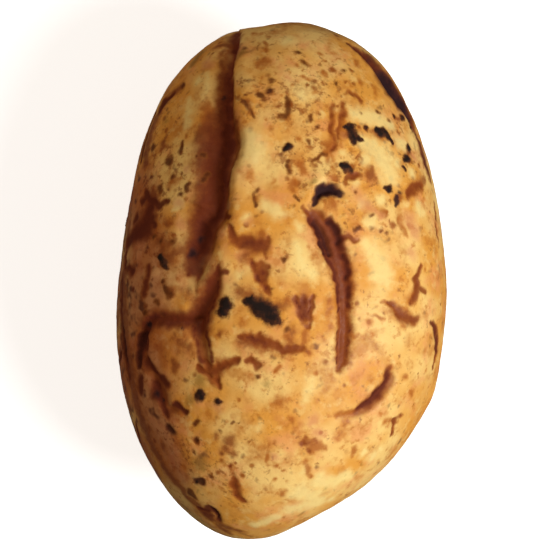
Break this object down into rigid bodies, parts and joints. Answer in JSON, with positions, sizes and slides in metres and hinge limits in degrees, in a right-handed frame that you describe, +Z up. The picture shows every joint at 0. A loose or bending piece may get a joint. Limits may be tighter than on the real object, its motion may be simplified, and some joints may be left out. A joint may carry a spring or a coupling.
{
  "type": "potato",
  "caption": "Whole raw potato, an oval tuber with a deep furrow and cracked, russeted, scurfed skin, lying on its side on a small flat spot.",
  "frame": {"origin": "on the surface that the potato lies on, under the middle of its outline", "axes": "+Y along the potato's length towards its blunter end, where the main furrow starts; +Z up, the face with the furrow and the long crack on top; +X towards the side with the long crack"},
  "size_m": [0.067, 0.105, 0.056],
  "materials": {
    "potato_skin": "dry thin corky potato skin, matt with a faint sheen, with brown cracks, russet freckles and black scurf"
  },
  "bodies": {
    "root": {"potato": "potato_skin"}
  },
  "joints": []
}
